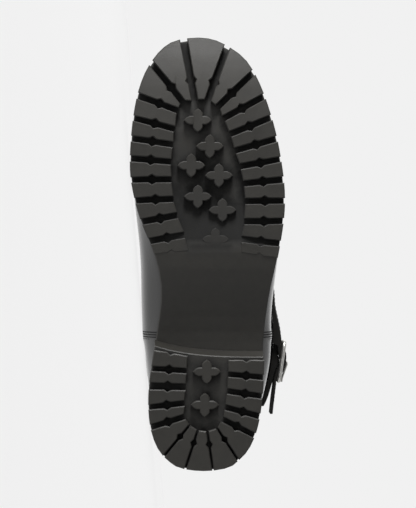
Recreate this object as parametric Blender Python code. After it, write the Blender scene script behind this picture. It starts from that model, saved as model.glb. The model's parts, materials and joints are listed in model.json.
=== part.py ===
"""Left winter boot with a lugged rubber sole and a buckled ankle strap, lying on its medial side.

Boot axes, in millimetres until a mesh is made: X from the heel end to the toe, Y to the lateral
side, Z up from the tread. The whole boot is then laid down by one empty.
"""
import math

import bmesh
import bpy
from mathutils import Matrix, Vector

MM = 0.001

# Driving sizes
SOLE_LENGTH = 300.0
TOE_SPRING = 13.0
SPRING_START = 225.0
LUG_DEPTH = 6.5
LUG_ROOT = 2.5
LUG_EDGE = 0.6
BALL_TOP = 15.0
HEEL_HEIGHT = 20.0
WAIST_LOW = 0.3
WAIST_BACK = 88.0
WAIST_LENGTH = 64.0
CHANNEL_RISE = (153.0, 192.0)
GROOVE_RISE = (151.0, 160.0)
HEEL_TOP = 31.0
TOP_DROP = (60.0, 205.0)
WALL = 2.2
GAP = 0.3
INSOLE_THICKNESS = 3.0
INSOLE_CLEAR = 1.0
INSOLE_WIDTH_PART = 0.865
STRAP_THICKNESS = 2.0
STRAP_WIDTH = 20.0
STRAP_GAP = 0.6

# Finishes
RUBBER = (0.030, 0.030, 0.031)
LEATHER = (0.022, 0.021, 0.021)
FELT = (0.10, 0.095, 0.09)
STEEL = (0.62, 0.61, 0.59)
SHARP_ANGLE = math.radians(35.0)

# How far the lugs stand out past the sole's side: at the waist, more by the ball and more by the toe,
# each with the places along the boot where it starts and is full
FLARE_WAIST = 0.3
FLARE_BALL = (0.1, 152.0, 175.0)
FLARE_TOE = (0.9, 268.0, 296.0)
CHANNEL_MARGIN = 0.1
LUG_TUCK = 1.0
LUG_REACH = 0.3

# Side of the sole from the tread up, one row for each ring: inset, lift, measured from the underside
SOLE_SECTIONS = 42
SOLE_ROWS = [
    (0.8, 0.0, True), (0.0, 0.8, True), (0.0, -5.2, False), (1.3, -4.4, False), (1.3, -0.8, False),
    (2.1, 0.0, False),
]

# Tread outline, one row for each section: along, medial, lateral
OUTLINE = [
    (0.0, -1.4, -1.4), (2.4, -18.7, 15.8), (6.6, -25.4, 21.8), (14.9, -32.9, 29.5),
    (31.6, -38.6, 36.1), (56.5, -39.5, 39.5), (89.8, -35.0, 40.8), (123.1, -31.2, 44.6),
    (148.1, -35.4, 49.8), (173.1, -45.2, 53.8), (189.7, -49.8, 54.5), (206.4, -52.3, 53.1),
    (231.3, -51.5, 48.7), (256.3, -48.0, 41.5), (272.9, -42.9, 34.7), (285.4, -35.8, 26.6),
    (293.8, -28.0, 15.5), (297.9, -20.5, 7.5), (300.0, -5.0, -5.0),
]

# Forefoot grooves from the medial waist round the toe to the lateral waist: outer end along and side,
# inner end along and side, width and place of the notch. The first and last only end a lug.
FOREFOOT_CUTS = [
    (149.5, -36.0, 151.5, -11.5, 0.0, 0.50),
    (158.5, -38.5, 162.7, -14.6, 4.0, 0.50), (171.7, -43.7, 176.2, -19.4, 4.0, 0.50),
    (186.6, -47.2, 187.3, -22.2, 4.0, 0.50), (200.8, -50.6, 200.8, -23.6, 4.0, 0.50),
    (215.4, -52.0, 212.9, -23.9, 4.0, 0.50), (229.2, -51.3, 224.7, -22.5, 4.0, 0.50),
    (243.1, -49.2, 235.5, -21.5, 4.0, 0.50), (258.4, -45.8, 248.3, -19.4, 4.0, 0.52),
    (281.3, -36.8, 254.2, -16.0, 4.2, 0.62), (296.5, -14.9, 255.6, -7.6, 4.4, 0.66),
    (292.4, 14.2, 255.6, 1.4, 4.4, 0.66), (275.0, 32.6, 250.8, 8.3, 4.2, 0.60),
    (258.4, 40.6, 242.8, 12.1, 4.0, 0.55), (243.5, 45.1, 232.0, 16.6, 4.0, 0.52),
    (228.9, 48.6, 220.6, 20.1, 4.0, 0.50), (214.7, 51.3, 209.8, 23.6, 4.0, 0.50),
    (200.8, 52.7, 198.0, 26.0, 4.0, 0.50), (186.2, 54.1, 185.9, 27.1, 4.0, 0.50),
    (172.0, 53.4, 172.0, 26.4, 4.0, 0.50), (156.4, 51.3, 159.9, 24.3, 4.0, 0.50),
    (146.5, 49.4, 150.5, 24.0, 0.0, 0.50),
]

# Inner ends of the lugs, which are the sides of the middle channel: along, medial, lateral
CHANNEL_EDGES = [
    (151.0, -11.5, 24.0), (162.7, -14.6, 24.3), (176.2, -19.4, 26.4), (187.3, -22.2, 27.1),
    (200.8, -23.6, 26.0), (212.9, -23.9, 23.0), (235.5, -21.5, 16.0), (255.0, -10.0, 3.0),
]
TOE_SPLITS = (256.0, 266.0, 276.0, 286.0)

# Heel grooves from the lateral breast round the heel end to the medial breast, in the same columns
HEEL_CUTS = [
    (76.6, 40.3, 76.4, 15.5, 0.0, 0.50),
    (64.5, 40.2, 66.6, 15.3, 3.6, 0.50), (51.3, 39.2, 55.1, 14.6, 3.8, 0.50),
    (37.5, 37.5, 44.0, 13.2, 3.8, 0.50), (24.3, 34.0, 35.7, 11.4, 3.8, 0.57),
    (6.6, 22.9, 29.5, 7.6, 1.5, 0.66), (0.3, 4.9, 27.4, 1.0, 1.5, 0.66),
    (1.7, -13.9, 28.1, -5.5, 1.5, 0.66), (10.8, -28.4, 31.6, -11.1, 1.5, 0.62),
    (30.2, -37.5, 37.5, -14.6, 3.8, 0.50), (44.0, -39.2, 46.8, -14.6, 3.8, 0.50),
    (58.6, -38.8, 57.9, -13.9, 4.6, 0.50), (70.8, -37.5, 69.0, -13.2, 3.6, 0.50),
    (83.6, -35.9, 79.2, -12.6, 0.0, 0.50),
]
BREAST_LATERAL = 78.6
BREAST_SWEEP = 7.4
BREAST_SLOPE = 3.4
BREAST_SIDE = 40.0
BREAST_WIDTH = 75.0
BREAST_SECTIONS = 8
HEEL_CORNER_MEDIAL = (86.0, -35.2)
HEEL_CORNER_LATERAL = (78.6, 40.4)
HEEL_SECTIONS = 40
HEEL_SETBACK = 0.2
NOTCH_HALF_LENGTH = 2.6
NOTCH_DEPTH = 1.5

# Cross-shaped studs: along, side
FOREFOOT_STUDS = [
    (241.7, -5.5), (223.7, 2.8), (210.5, -10.1), (203.6, 9.0), (189.0, -5.5), (179.7, 11.4), (159.5, 6.6),
]
HEEL_STUDS = [(68.3, 0.7), (45.4, -0.7)]
STUD_DROP = 0.4

# One lobe of a stud: degrees from the lobe's middle, reach
STUD_LOBE = [(-30.0, 6.3), (-15.0, 7.7), (0.0, 9.0), (15.0, 7.7), (30.0, 6.3), (45.0, 4.6)]
STUD_STRETCH = (0.92, 1.07)

# Rings of the upper from the sole to the collar. Columns: front x and z, back x and z, part of the
# tread's width, swell over the waist, medial and lateral reach, taper to the front, roundness
# (0 the foot's outline, 1 an oval) and how far the ring follows the sole's top
UPPER_RINGS = [
    (290.0, 25.2, 8.0, 31.4, 0.935, 0.00, 43.0, 48.0, 0.00, 0.00, 1.00),
    (292.5, 35.5, 5.5, 42.0, 0.955, 0.75, 43.0, 48.0, 0.00, 0.00, 0.85),
    (291.0, 46.0, 4.5, 54.0, 0.950, 1.00, 43.0, 49.0, 0.05, 0.05, 0.60),
    (283.0, 56.5, 5.0, 67.0, 0.900, 1.00, 43.0, 50.5, 0.20, 0.30, 0.35),
    (266.0, 65.5, 7.5, 80.0, 0.800, 0.90, 43.0, 52.5, 0.36, 0.65, 0.15),
    (240.0, 75.5, 10.0, 93.0, 0.700, 0.60, 43.0, 54.0, 0.38, 0.90, 0.05),
    (211.0, 89.0, 12.5, 107.0, 0.700, 0.30, 43.0, 54.5, 0.30, 1.00, 0.00),
    (184.0, 106.5, 14.0, 122.0, 0.700, 0.00, 43.0, 54.5, 0.20, 1.00, 0.00),
    (163.0, 128.0, 14.5, 139.0, 0.700, 0.00, 43.0, 54.0, 0.11, 1.00, 0.00),
    (150.0, 154.0, 13.0, 159.0, 0.700, 0.00, 43.0, 53.5, 0.05, 1.00, 0.00),
    (144.5, 190.0, 10.0, 192.0, 0.700, 0.00, 43.5, 53.5, 0.00, 1.00, 0.00),
    (146.0, 240.0, 7.0, 240.0, 0.700, 0.00, 44.0, 54.0, 0.00, 1.00, 0.00),
]
RINGS_PER_ROW = 2
OVAL_POWER = 2.6
MEDIAL_SWELL = 15.0
LATERAL_SWELL = 6.3
SWELL_CENTRE = 122.0
SWELL_SPREAD = 48.0
FRONT_COLUMNS = 13
BACK_COLUMNS = 7
SEAM_ALONG = 91.2
SEAM_RISE = 0.9
SEAM_EDGES = [(3.4, 0.0), (2.7, 1.0), (-2.7, 1.0), (-3.4, 0.0)]

# Lateral run of the strap, over the buckle's bar, and of the short buckle strap: along, outer side,
# inner side
STRAP_RUN = [
    (31.6, 51.0, 49.2), (38.0, 51.7, 49.8), (45.0, 52.5, 50.6), (53.4, 53.6, 51.8), (55.9, 53.7, 51.9),
    (57.8, 54.0, 52.1), (59.2, 55.5, 52.5), (60.6, 57.1, 52.9), (62.0, 58.3, 53.3), (65.0, 59.8, 54.5),
    (67.2, 60.6, 57.2), (68.4, 60.8, 58.9), (70.0, 60.9, 59.0), (71.6, 61.0, 58.9), (72.8, 61.1, 57.2),
    (74.0, 61.2, 56.3), (76.0, 61.0, 55.6), (80.0, 60.0, 54.9), (82.0, 58.9, 54.7), (84.0, 58.0, 54.5),
    (86.0, 57.9, 53.4), (88.0, 57.7, 53.0), (93.0, 57.0, 53.0), (95.5, 56.5, 52.4), (100.2, 55.5, 51.9),
    (107.6, 53.9, 51.4), (112.0, 52.9, 51.0),
]
STRAP_TILT = 0.08
STRAP_TILT_PLACE = (83.0, 90.0)
STRAP_MEDIAL_END = 1.75
STRAP_LEAVES = (112.0, 146.0)
STRAP_SHIFTS = (-0.5, 0.0, 0.5)
STRAP_MEDIAL_SECTIONS = 7
STRAP_LATERAL_SECTIONS = 15
STRAP_HALF_BACK = 0.68
STRAP_HALF_FRONT = 0.31
STRAP_HALF_POWER = 1.5
STRAP_LEAVING_PART = 0.55
STRAP_BUCKLE_PART = 0.3
STRAP_LEVEL_BACK = 5.8
STRAP_LEVEL_FRONT = 7.0
BUCKLE_STRAP_RUN = [
    (37.0, 44.6, 43.1), (40.5, 46.4, 45.0), (44.0, 47.9, 46.5), (52.0, 50.2, 48.7), (57.0, 51.6, 50.0),
    (62.0, 52.8, 50.9), (66.0, 54.0, 51.4), (68.2, 56.0, 51.7), (71.8, 56.0, 52.1), (74.5, 55.4, 52.4),
    (79.0, 54.6, 52.4), (83.5, 54.1, 52.5),
]
BUCKLE_STRAP_WIDTH = 12.0
BUCKLE_ALONG = 70.0
BUCKLE_SIDE = 57.6
BUCKLE_TURN = math.radians(8.5)
BUCKLE_HALF_LENGTH = 14.25
BUCKLE_HALF_HEIGHT = 13.2
BUCKLE_CORNER = 4.0
BUCKLE_CORNER_STEPS = 4
BUCKLE_WIRE = 2.8
BUCKLE_BAR = 2.2
PRONG_WIRE = 1.6
PRONG_CROWN_START = 0.5
PRONG_CROWN_END = 2.4
PRONG_TIP = (1.5, -1.2)
PRONG_SAG = 0.2


def smooth(value, start, end):
    """Return a soft 0 to 1 step of a value between start and end."""
    part = min(max((value - start) / (end - start), 0.0), 1.0)
    return part * part * (3.0 - 2.0 * part)


def curve_through(knots, values, place):
    """Return the value at a place on a smooth curve through the knots."""
    last = len(knots) - 1
    index = 0
    while index < last - 1 and place > knots[index + 1]:
        index += 1

    def slope(i):
        low = max(i - 1, 0)
        high = min(i + 1, last)
        return (values[high] - values[low]) / (knots[high] - knots[low])

    span = knots[index + 1] - knots[index]
    part = (place - knots[index]) / span
    square = part * part
    cube = square * part
    return (
        (2 * cube - 3 * square + 1) * values[index]
        + (cube - 2 * square + part) * span * slope(index)
        + (3 * square - 2 * cube) * values[index + 1]
        + (cube - square) * span * slope(index + 1)
    )


def turn_at(along, length=SOLE_LENGTH):
    """Return the angle, 0 at the heel end and pi at the toe, of a place along a ring."""
    return math.acos(min(max(1.0 - 2.0 * along / length, -1.0), 1.0))


def rim_table():
    """Return the knots and sides of the tread's closed outline, with a lap at both ends."""
    full = 2.0 * math.pi
    lateral = [(turn_at(row[0]), row[2]) for row in OUTLINE]
    medial = [(full - turn_at(row[0]), row[1]) for row in reversed(OUTLINE[1:-1])]
    ring = lateral + medial
    lap_start = [(turn - full, side) for turn, side in ring[-2:]]
    lap_end = [(turn + full, side) for turn, side in ring[:2]]
    rows = lap_start + ring + lap_end
    return [row[0] for row in rows], [row[1] for row in rows]


RIM_TURNS, RIM_SIDES = rim_table()


def rim(turn, inset=0.0):
    """Return a plan point of the tread's outline, moved in by an inset."""
    step = 0.002
    turn = turn % (2.0 * math.pi)

    def point(angle):
        side = curve_through(RIM_TURNS, RIM_SIDES, angle)
        return Vector((SOLE_LENGTH * (1.0 - math.cos(angle)) / 2.0, side))

    here = point(turn)
    if inset == 0.0:
        return here
    run = (point(turn + step) - point(turn - step)).normalized()
    return here + Vector((run.y, -run.x)) * inset


RIM_SAMPLES = [(i * math.pi / 600.0, rim(i * math.pi / 600.0)) for i in range(1200)]


def nearest_turn(point):
    """Return the outline angle nearest to a plan point."""
    return min(RIM_SAMPLES, key=lambda sample: (sample[1] - point).length_squared)[0]


def spring(along):
    """Return how far the toe spring lifts the tread."""
    return TOE_SPRING * max((along - SPRING_START) / (SOLE_LENGTH - SPRING_START), 0.0) ** 2


def flare(along):
    """Return how far the lugs stand out past the sole's own side."""
    ball, ball_start, ball_end = FLARE_BALL
    toe, toe_start, toe_end = FLARE_TOE
    by_ball = ball * smooth(along, ball_start, ball_end)
    by_toe = toe * smooth(along, toe_start, toe_end)
    return FLARE_WAIST + by_ball + by_toe


def sole_floor(along, rise=GROOVE_RISE):
    """Return the height of the sole's underside at the waist, over the heel and between the lugs."""
    if along < WAIST_BACK:
        return HEEL_HEIGHT
    fall = smooth(along, WAIST_BACK, WAIST_BACK + WAIST_LENGTH)
    waist = HEEL_HEIGHT + (WAIST_LOW - HEEL_HEIGHT) * fall
    deep = LUG_DEPTH + spring(along)
    return waist + (deep - waist) * smooth(along, *rise)


def channel_rung(start, end):
    """Return the points of the middle channel between two opposite points of the sole's edge."""
    along = (start[0] + end[0]) / 2.0
    knots = [row[0] for row in CHANNEL_EDGES]
    place = min(max(along, knots[0]), knots[-1])
    margin = (start[1] - end[1]) * CHANNEL_MARGIN
    points = []
    for column in (2, 1):
        side = curve_through(knots, [row[column] for row in CHANNEL_EDGES], place)
        reach = min(max(side, end[1] + margin), start[1] - margin)
        points.append((along, reach, sole_floor(along, CHANNEL_RISE)))
    return points


def sole_top(along):
    """Return the height of the sole's top, where the upper is lasted to it."""
    lift = 1.0 - smooth(along, *TOP_DROP)
    return BALL_TOP + (HEEL_TOP - BALL_TOP) * lift + spring(along)


def breast(side):
    """Return where the heel's front face stands at the tread."""
    return BREAST_LATERAL + BREAST_SWEEP * ((BREAST_SIDE - side) / BREAST_WIDTH) ** 3


def ring_values(level):
    """Return the ring sizes at a level between the rows of the upper's table."""
    knots = list(range(len(UPPER_RINGS)))
    return [curve_through(knots, column, level) for column in zip(*UPPER_RINGS)]


def skin(level, turn, side):
    """Return a point of the upper's outside: side is 1 lateral, -1 medial."""
    if turn > math.pi:
        turn = 2.0 * math.pi - turn
        side = -side
    ring = ring_values(level)
    front_x, front_z, back_x, back_z, width, swell, medial, lateral, taper, oval, follow = ring
    part = (1.0 - math.cos(turn)) / 2.0
    along = back_x + (front_x - back_x) * part
    bump = swell * math.exp(-(((along - SWELL_CENTRE) / SWELL_SPREAD) ** 2))
    outline = rim(turn if side > 0 else -turn).y * width
    foot = outline + bump * (LATERAL_SWELL if side > 0 else -MEDIAL_SWELL)
    reach = (1.0 - abs(math.cos(turn)) ** OVAL_POWER) ** (1.0 / OVAL_POWER)
    egg = reach * (1.0 - taper * part * part) * (lateral if side > 0 else -medial)
    chord = sole_top(back_x) + (sole_top(front_x) - sole_top(back_x)) * part
    height = back_z + (front_z - back_z) * part + follow * (sole_top(along) - chord)
    return Vector((along, foot + (egg - foot) * oval, height))


def skin_turn(level, along):
    """Return the ring angle of a place along the boot at a level of the upper."""
    ring = ring_values(level)
    return turn_at(along - ring[2], ring[0] - ring[2])


def new_object(name, mesh, collection):
    """Return an object that holds a mesh, in a collection."""
    item = bpy.data.objects.new(name, mesh)
    collection.objects.link(item)
    return item


def mesh_of(name, points, faces):
    """Return a closed mesh, in metres, from points in millimetres and faces of their numbers."""
    mesh = bpy.data.meshes.new(name)
    mesh.from_pydata([Vector(point) * MM for point in points], [], faces)
    shape = bmesh.new()
    shape.from_mesh(mesh)
    bmesh.ops.recalc_face_normals(shape, faces=shape.faces)
    shape.to_mesh(mesh)
    shape.free()
    return mesh


def loft(name, sections):
    """Return a mesh through closed sections of equal point counts, capped at both ends."""
    count = len(sections[0])
    points = [point for section in sections for point in section]
    faces = [list(range(count)), [len(points) - 1 - i for i in range(count)]]
    for row in range(len(sections) - 1):
        for i in range(count):
            j = (i + 1) % count
            faces.append([row * count + i, row * count + j, (row + 1) * count + j, (row + 1) * count + i])
    return mesh_of(name, points, faces)


def ladder_solid(name, rings, rung_points=None):
    """Return a mesh of stacked rings round the foot, with rungs from side to side as its caps.

    rung_points gives the points between the two ends of a rung of the first cap.
    """
    count = len(rings[0])
    half = count // 2
    points = [point for ring in rings for point in ring]
    faces = []
    for row in range(len(rings) - 1):
        for i in range(count):
            j = (i + 1) % count
            faces.append([row * count + i, row * count + j, (row + 1) * count + j, (row + 1) * count + i])
    for start in (0, (len(rings) - 1) * count):
        rungs = [[start]]
        for i in range(1, half):
            ends = [start + i, start + count - i]
            middle = []
            if rung_points and start == 0:
                middle = [len(points), len(points) + 1]
                points += rung_points(points[ends[0]], points[ends[1]])
            rungs.append([ends[0]] + middle + [ends[1]])
        rungs.append([start + half])
        for before, after in zip(rungs, rungs[1:]):
            columns = max(len(before), len(after)) - 1
            for i in range(columns):
                corners = before[i:i + 2] + list(reversed(after[i:i + 2]))
                if len(before) == 1:
                    corners = before + list(reversed(after[i:i + 2]))
                elif len(after) == 1:
                    corners = before[i:i + 2] + after
                faces.append(corners)
    return mesh_of(name, points, faces)


def prisms(name, outlines, half_height):
    """Return one mesh of upright prisms over closed plan outlines, with a chamfer round each foot."""
    curve = bpy.data.curves.new(name, "CURVE")
    curve.dimensions = "2D"
    curve.fill_mode = "BOTH"
    curve.extrude = half_height * MM
    for outline in outlines:
        spline = curve.splines.new("POLY")
        spline.points.add(len(outline) - 1)
        for corner, point in zip(spline.points, outline):
            corner.co = (point[0] * MM, point[1] * MM, 0.0, 1.0)
        spline.use_cyclic_u = True
    drawing = bpy.data.objects.new(name, curve)
    bpy.context.scene.collection.objects.link(drawing)
    bpy.context.view_layer.update()
    mesh = bpy.data.meshes.new_from_object(drawing.evaluated_get(bpy.context.evaluated_depsgraph_get()))
    bpy.data.objects.remove(drawing)
    shape = bmesh.new()
    shape.from_mesh(mesh)
    bmesh.ops.remove_doubles(shape, verts=shape.verts, dist=0.00001)
    bmesh.ops.recalc_face_normals(shape, faces=shape.faces)
    foot_edges = []
    for edge in shape.edges:
        low = all(vertex.co.z < 0.0 for vertex in edge.verts)
        if low and any(abs(face.normal.z) < 0.5 for face in edge.link_faces):
            foot_edges.append(edge)
    bmesh.ops.bevel(
        shape, geom=foot_edges, offset=LUG_EDGE * MM, segments=1, profile=0.5, affect="EDGES",
    )
    shape.to_mesh(mesh)
    shape.free()
    return mesh


def lug_outlines(cuts):
    """Return the plan outline of each lug between neighbouring grooves."""
    lines = []
    for outer_x, outer_y, inner_x, inner_y, width, notch in cuts:
        outer = Vector((outer_x, outer_y))
        inner = Vector((inner_x, inner_y))
        run = (inner - outer).normalized()
        across = Vector((-run.y, run.x))
        walls = []
        for sign in (1.0, -1.0):
            shift = across * sign * width / 2.0
            middle = outer.lerp(inner, notch) + shift
            bite = across * sign * NOTCH_DEPTH
            half = run * NOTCH_HALF_LENGTH
            walls.append([outer + shift, middle - half, middle + bite, middle + half, inner + shift])
        lines.append(walls)
    outlines = []
    for before, after in zip(lines, lines[1:]):
        start_wall = before[1]
        end_wall = after[0]
        start_turn = nearest_turn(start_wall[0])
        sweep = (nearest_turn(end_wall[0]) - start_turn + math.pi) % (2.0 * math.pi) - math.pi
        steps = 2 + int(abs(sweep) * 6.0)
        edge = [rim(start_turn + sweep * i / steps) for i in range(steps + 1)]
        outlines.append(list(reversed(start_wall[1:])) + edge + end_wall[1:])
    return outlines


def stud_outlines(places):
    """Return the outline of each stud, four round lobes along its axes."""
    outlines = []
    for along, side in places:
        corners = []
        for lobe in range(4):
            for degrees, reach in STUD_LOBE:
                turn = math.radians(90.0 * lobe + degrees)
                forward = STUD_STRETCH[0] * reach * math.cos(turn)
                sideways = STUD_STRETCH[1] * reach * math.sin(turn)
                corners.append(Vector((along + forward, side + sideways)))
        outlines.append(corners)
    return outlines


def tuck_roots(mesh):
    """Move the roots of the prisms at the sole's edge in under its side."""
    for vertex in mesh.vertices:
        if vertex.co.z > 0.0:
            place = Vector((vertex.co.x / MM, vertex.co.y / MM))
            turn = nearest_turn(place)
            edge = rim(turn)
            if (edge - place).length < LUG_REACH:
                inner = rim(turn, flare(edge.x) + LUG_TUCK)
                vertex.co.x = inner.x * MM
                vertex.co.y = inner.y * MM


def set_heights(mesh, foot, root):
    """Move the prisms' feet to the tread, with their chamfers, and their roots into the sole."""
    for vertex in mesh.vertices:
        along = vertex.co.x / MM
        lift = vertex.co.z / MM + LUG_DEPTH / 2.0
        chamfer = min(lift, LUG_EDGE)
        rise = (lift - chamfer) / (LUG_DEPTH - LUG_EDGE)
        low = foot(along) + chamfer
        vertex.co.z = (low + (root(along) - low) * rise) * MM


def split_faces(mesh):
    """Split a mesh's faces into triangles, so that every face is flat."""
    shape = bmesh.new()
    shape.from_mesh(mesh)
    bmesh.ops.triangulate(shape, faces=shape.faces)
    shape.to_mesh(mesh)
    shape.free()


def split_along(mesh, places):
    """Split a mesh at places along the boot, so that its faces can follow the toe spring."""
    shape = bmesh.new()
    shape.from_mesh(mesh)
    for along in places:
        parts = shape.verts[:] + shape.edges[:] + shape.faces[:]
        bmesh.ops.bisect_plane(shape, geom=parts, plane_co=(along * MM, 0.0, 0.0), plane_no=(1.0, 0.0, 0.0))
    shape.to_mesh(mesh)
    shape.free()


def join_tread(body, lugs, studs, foot, root, solver):
    """Join lugs and studs to a body with Boolean unions."""
    split_faces(body.data)
    for name, outlines, drop in (("lugs", lugs, 0.0), ("studs", studs, STUD_DROP)):
        mesh = prisms(body.name + "_" + name, outlines, LUG_DEPTH / 2.0)
        tuck_roots(mesh)
        split_along(mesh, TOE_SPLITS)
        set_heights(mesh, lambda along: foot(along) + drop, root)
        split_faces(mesh)
        tool = new_object(body.name + "_" + name, mesh, TOOLS)
        tool.hide_render = True
        tool.display_type = "WIRE"
        union = body.modifiers.new(name, "BOOLEAN")
        union.operation = "UNION"
        union.solver = solver
        union.object = tool


def sole_turns():
    """Return the outline angles of the sole's sections, closer where the waist rises to the channel."""
    rise_start, rise_end = GROOVE_RISE
    third = (rise_end - rise_start) / 3.0
    extra = [turn_at(WAIST_BACK)] + [turn_at(rise_start + third * i) for i in range(4)]
    return sorted([math.pi * i / SOLE_SECTIONS for i in range(1, SOLE_SECTIONS)] + extra)


def make_outsole():
    """Return the full-length sole: side with a ledge, waist, lug ring and studs."""
    turns = sole_turns()
    turns = [0.0] + turns + [math.pi] + [2.0 * math.pi - turn for turn in reversed(turns)]
    rings = []
    for inset, lift, from_floor in SOLE_ROWS:
        ring = []
        for turn in turns:
            point = rim(turn, flare(rim(turn).x) + inset)
            base = sole_floor(point.x) if from_floor else sole_top(point.x)
            ring.append((point.x, point.y, base + lift))
        rings.append(ring)
    sole = new_object("outsole", ladder_solid("outsole", rings, channel_rung), PARTS)
    join_tread(
        sole, lug_outlines(FOREFOOT_CUTS), stud_outlines(FOREFOOT_STUDS), spring,
        lambda along: max(sole_floor(along), LUG_DEPTH + spring(along)) + LUG_ROOT, "EXACT",
    )
    return sole


def make_heel():
    """Return the heel block with its curved breast, lugs and studs."""
    start_turn = nearest_turn(Vector(HEEL_CORNER_MEDIAL))
    sweep = (nearest_turn(Vector(HEEL_CORNER_LATERAL)) - start_turn) % (2.0 * math.pi)
    step = sweep / HEEL_SECTIONS
    edge = [rim(start_turn + step * i, HEEL_SETBACK) for i in range(HEEL_SECTIONS + 1)]
    start = edge[-1].y
    span = edge[0].y - start
    sides = [start + span * i / BREAST_SECTIONS for i in range(1, BREAST_SECTIONS)]
    face = [Vector((breast(side) - HEEL_SETBACK, side)) for side in sides]
    mesh = prisms("heel", [edge + face], LUG_DEPTH / 2.0)
    for vertex in mesh.vertices:
        along = vertex.co.x / MM
        side = vertex.co.y / MM
        at_breast = along > breast(side) - 2.0 * HEEL_SETBACK - LUG_EDGE
        if vertex.co.z > 0.0:
            vertex.co.z = (HEEL_HEIGHT - GAP) * MM
            if at_breast:
                vertex.co.x += BREAST_SLOPE * MM
        else:
            vertex.co.z += (1.5 * LUG_DEPTH) * MM
    heel = new_object("heel", mesh, PARTS)
    join_tread(
        heel, lug_outlines(HEEL_CUTS), stud_outlines(HEEL_STUDS),
        lambda along: 0.0, lambda along: LUG_DEPTH + LUG_ROOT, "MANIFOLD",
    )
    return heel


def upper_columns(level):
    """Return angle, side and seam height of each column round a ring, from toe to heel and back."""
    seam = [(skin_turn(level, SEAM_ALONG + shift), rise) for shift, rise in SEAM_EDGES]
    front = seam[0][0]
    back = seam[-1][0]
    half = [(math.pi - (math.pi - front) * i / FRONT_COLUMNS, 0.0) for i in range(1, FRONT_COLUMNS)]
    half += seam
    half += [(back * (1.0 - i / BACK_COLUMNS), 0.0) for i in range(1, BACK_COLUMNS)]
    lateral = [(turn, 1, rise) for turn, rise in half]
    medial = [(turn, -1, rise) for turn, rise in reversed(half)]
    return [(math.pi, 1, 0.0)] + lateral + [(0.0, 1, 0.0)] + medial


def make_upper():
    """Return the hollow leather upper, open underneath and at the collar, with raised side seams."""
    last = (len(UPPER_RINGS) - 1) * RINGS_PER_ROW
    levels = [i / RINGS_PER_ROW for i in range(last + 1)]
    columns = [upper_columns(level) for level in levels]
    grid = [[skin(level, turn, side) for turn, side, _ in row] for level, row in zip(levels, columns)]
    count = len(grid[0])

    def outward(row, i):
        around = grid[row][(i + 1) % count] - grid[row][i - 1]
        upward = grid[min(row + 1, last)][i] - grid[max(row - 1, 0)][i]
        return around.cross(upward).normalized()

    outside = []
    inside = []
    for row in range(last + 1):
        for i in range(count):
            normal = outward(row, i)
            outside.append(grid[row][i] + normal * columns[row][i][2] * SEAM_RISE)
            inside.append(grid[row][i] - normal * WALL)
    offset = len(outside)
    faces = []
    for row in range(last):
        for i in range(count):
            j = (i + 1) % count
            quad = [row * count + i, row * count + j, (row + 1) * count + j, (row + 1) * count + i]
            faces.append(quad)
            faces.append([offset + corner for corner in quad])
    for start in (0, last * count):
        for i in range(count):
            j = (i + 1) % count
            faces.append([start + i, start + j, offset + start + j, offset + start + i])
    return new_object("upper", mesh_of("upper", outside + inside, faces), PARTS)


def make_insole():
    """Return the insole that lies on the sole inside the upper."""
    back = UPPER_RINGS[0][2] + WALL + INSOLE_CLEAR
    length = UPPER_RINGS[0][0] - WALL - INSOLE_CLEAR - back
    places = [rim(turn).x for turn in sole_turns()]
    half = [turn_at(along - back, length) for along in places if back < along < back + length]
    turns = [0.0] + half + [math.pi] + [2.0 * math.pi - turn for turn in reversed(half)]
    rings = []
    for lift in (GAP, GAP + INSOLE_THICKNESS):
        ring = []
        for turn in turns:
            point = rim(turn)
            along = back + length * point.x / SOLE_LENGTH
            ring.append((along, point.y * INSOLE_WIDTH_PART, sole_top(along) + lift))
        rings.append(ring)
    return new_object("insole", ladder_solid("insole", rings), PARTS)


def strap_edge_levels(part):
    """Return the levels of the strap's lower edge, middle and upper edge on the upper's rings."""
    middle = STRAP_LEVEL_BACK + (STRAP_LEVEL_FRONT - STRAP_LEVEL_BACK) * part
    half = STRAP_HALF_BACK + (STRAP_HALF_FRONT - STRAP_HALF_BACK) * part ** STRAP_HALF_POWER
    return middle - half, middle, middle + half


def run_side(run, along, column=1):
    """Return the outer side, or the inner one, of a strap's run at a place along the boot."""
    return curve_through([row[0] for row in run], [row[column] for row in run], along)


def strap_section(turn, side):
    """Return the closed section of the strap where it lies on the upper, at an angle round it."""
    part = (1.0 - math.cos(turn)) / 2.0
    step = 0.02
    levels = strap_edge_levels(part)
    middle = skin(levels[1], turn, side)
    free = 0.0
    if side > 0:
        free = 1.0 - smooth(middle.x, *STRAP_LEAVES)
    outer = []
    inner = []
    for level, shift in zip(levels, STRAP_SHIFTS):
        along = skin(level, turn, side).x
        place = skin_turn(level, along + (middle.x - along) * free)
        point = skin(level, place, side)
        around = skin(level, place + step, side) - skin(level, place - step, side)
        upward = skin(level + step, place, side) - skin(level - step, place, side)
        normal = upward.cross(around).normalized() * side
        low = point + normal * STRAP_GAP
        high = point + normal * (STRAP_GAP + STRAP_THICKNESS)
        if free > 0.0:
            station = min(middle.x, STRAP_RUN[-1][0])
            rise = shift * STRAP_WIDTH
            lean = STRAP_TILT * rise
            height = buckle_height() + rise
            high = high.lerp(Vector((middle.x, run_side(STRAP_RUN, station) + lean, height)), free)
            low = low.lerp(Vector((middle.x, run_side(STRAP_RUN, station, 2) + lean, height)), free)
        outer.append(high)
        inner.append(low)
    return outer + list(reversed(inner))


def run_section(row, width):
    """Return the section of a strap's free run at a row of its table, leaning with the shaft."""
    along, outer_side, inner_side = row
    lean = STRAP_TILT * smooth(along, *STRAP_TILT_PLACE)
    section = []
    for side, shifts in ((outer_side, STRAP_SHIFTS), (inner_side, reversed(STRAP_SHIFTS))):
        for shift in shifts:
            rise = shift * width
            section.append(Vector((along, side + lean * rise, buckle_height() + rise)))
    return section


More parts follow.
